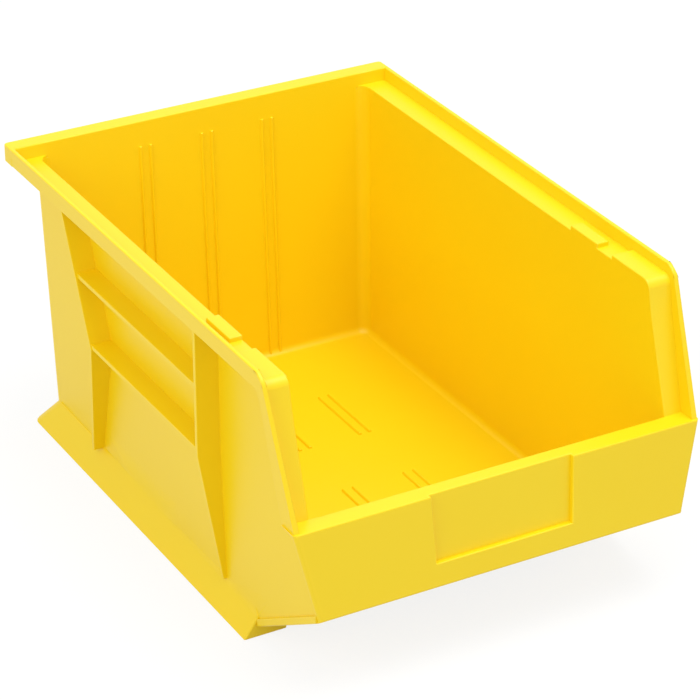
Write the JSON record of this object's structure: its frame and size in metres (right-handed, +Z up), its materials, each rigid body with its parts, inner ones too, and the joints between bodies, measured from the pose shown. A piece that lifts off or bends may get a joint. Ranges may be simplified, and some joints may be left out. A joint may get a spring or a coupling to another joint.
{
  "type": "stackable storage bin",
  "caption": "Moulded plastic stack-and-hang storage bin with an open hopper front, label recess, side ribs, flared stacking rails and a rear hanger lip.",
  "frame": {"origin": "middle of the bounding box's underside, on the ground between the stacking rails", "axes": "+Z up, the open hopper front faces -Y, +X to the right seen from the front"},
  "size_m": [0.28, 0.398, 0.2],
  "materials": {
    "body": "yellow injection moulded polypropylene, satin with a faint sheen"
  },
  "bodies": {
    "root": {"floor_pan": "body", "front_chin": "body", "left_chin_bead": "body", "right_chin_bead": "body", "back_wall": "body", "left_side_wall": "body", "right_side_wall": "body", "left_ledge": "body", "right_ledge": "body", "left_ledge_front": "body", "right_ledge_front": "body", "left_lip": "body", "right_lip": "body", "left_front_flange": "body", "right_front_flange": "body", "left_front_lip": "body", "right_front_lip": "body", "back_rim": "body", "back_rim_web": "body", "hanger_lip": "body", "front_panel": "body", "front_lip": "body", "front_inner_wall": "body", "left_stacking_rail": "body", "right_stacking_rail": "body", "left_back_rib": "body", "right_back_rib": "body", "left_front_rib": "body", "right_front_rib": "body", "left_upper_shelf": "body", "right_upper_shelf": "body", "left_lower_shelf": "body", "right_lower_shelf": "body", "left_slide_tab": "body", "right_slide_tab": "body", "left_stop_pad": "body", "right_stop_pad": "body", "back_divider_ridges": "body", "floor_divider_ridges": "body"}
  },
  "joints": []
}
